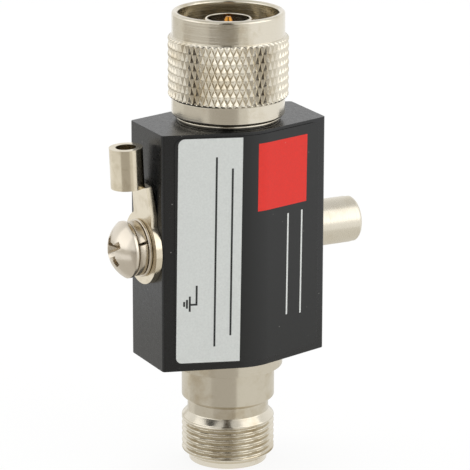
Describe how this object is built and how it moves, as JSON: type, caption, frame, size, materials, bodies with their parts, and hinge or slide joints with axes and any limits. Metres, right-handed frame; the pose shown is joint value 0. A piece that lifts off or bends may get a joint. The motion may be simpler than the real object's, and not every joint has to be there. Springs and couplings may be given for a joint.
{
  "type": "coax lightning arrestor",
  "caption": "Inline coaxial surge arrestor: black ridged block with a knurled plug, a threaded jack, a gas tube behind a screwed side cap and a ground lug.",
  "frame": {"origin": "centre of the jack's end face", "axes": "+Z along the coaxial line from the jack to the plug, -Y to the front ridge with the label, -X to the ground terminal, +X to the gas tube's cap"},
  "size_m": [0.046, 0.0206, 0.0787],
  "materials": {
    "black_paint": "satin black paint on a metal block",
    "label_film": "printed film label",
    "nickel_plate": "turned brass with bright nickel plate",
    "gold_plate": "gold plate",
    "spring_steel": "plated spring steel",
    "white_plastic": "white fluoropolymer",
    "ceramic": "white alumina",
    "rubber": "black silicone rubber"
  },
  "bodies": {
    "main": {"body_block": "black_paint", "label": "label_film", "plug_shell": "nickel_plate", "plug_seal": "rubber", "nut_snap_ring": "spring_steel", "plug_gasket": "rubber", "plug_insulator": "white_plastic", "plug_pin": "gold_plate", "line_conductor": "gold_plate", "jack_shell": "nickel_plate", "jack_seal": "rubber", "jack_insulator": "white_plastic", "jack_socket": "gold_plate", "gas_tube_ceramic": "ceramic", "gas_tube_inner_electrode": "nickel_plate", "gas_tube_outer_electrode": "nickel_plate"},
    "nut": {"coupling_nut": "nickel_plate"},
    "cap_carrier": {"gas_tube_spring": "spring_steel"},
    "cap": {"gas_tube_cap": "nickel_plate", "gas_tube_cap_seal": "rubber"},
    "screw_carrier": {"ground_flat_washer": "nickel_plate", "ground_lock_washer": "spring_steel"},
    "screw": {"ground_screw": "nickel_plate"},
    "lug": {"ground_lug": "nickel_plate"}
  },
  "joints": [
    {"name": "coupling_nut_spin", "type": "hinge", "parent": "main", "child": "nut", "pos_m": [0, 0, 0.07], "axis": [0, 0, 1], "continuous": true},
    {"name": "gas_tube_cap_travel", "type": "slide", "parent": "main", "child": "cap_carrier", "axis": [1, 0, 0], "range_m": [0, 0.006]},
    {"name": "gas_tube_cap_turn", "type": "hinge", "parent": "cap_carrier", "child": "cap", "pos_m": [0.01525, 0, 0.0398], "axis": [1, 0, 0], "range_deg": [0, 2160]},
    {"name": "ground_screw_travel", "type": "slide", "parent": "main", "child": "screw_carrier", "axis": [-1, 0, 0], "range_m": [0, 0.008]},
    {"name": "ground_screw_turn", "type": "hinge", "parent": "screw_carrier", "child": "screw", "pos_m": [-0.01525, 0, 0.0398], "axis": [-1, 0, 0], "range_deg": [0, 3600]},
    {"name": "ground_lug_swivel", "type": "hinge", "parent": "main", "child": "lug", "pos_m": [-0.01525, 0, 0.0398], "axis": [-1, 0, 0], "range_deg": [-180, 180]}
  ],
  "couplings": [
    {"joint": "gas_tube_cap_turn", "follows": "gas_tube_cap_travel", "rad_per_m": 6283.2},
    {"joint": "ground_screw_turn", "follows": "ground_screw_travel", "rad_per_m": 7854}
  ]
}
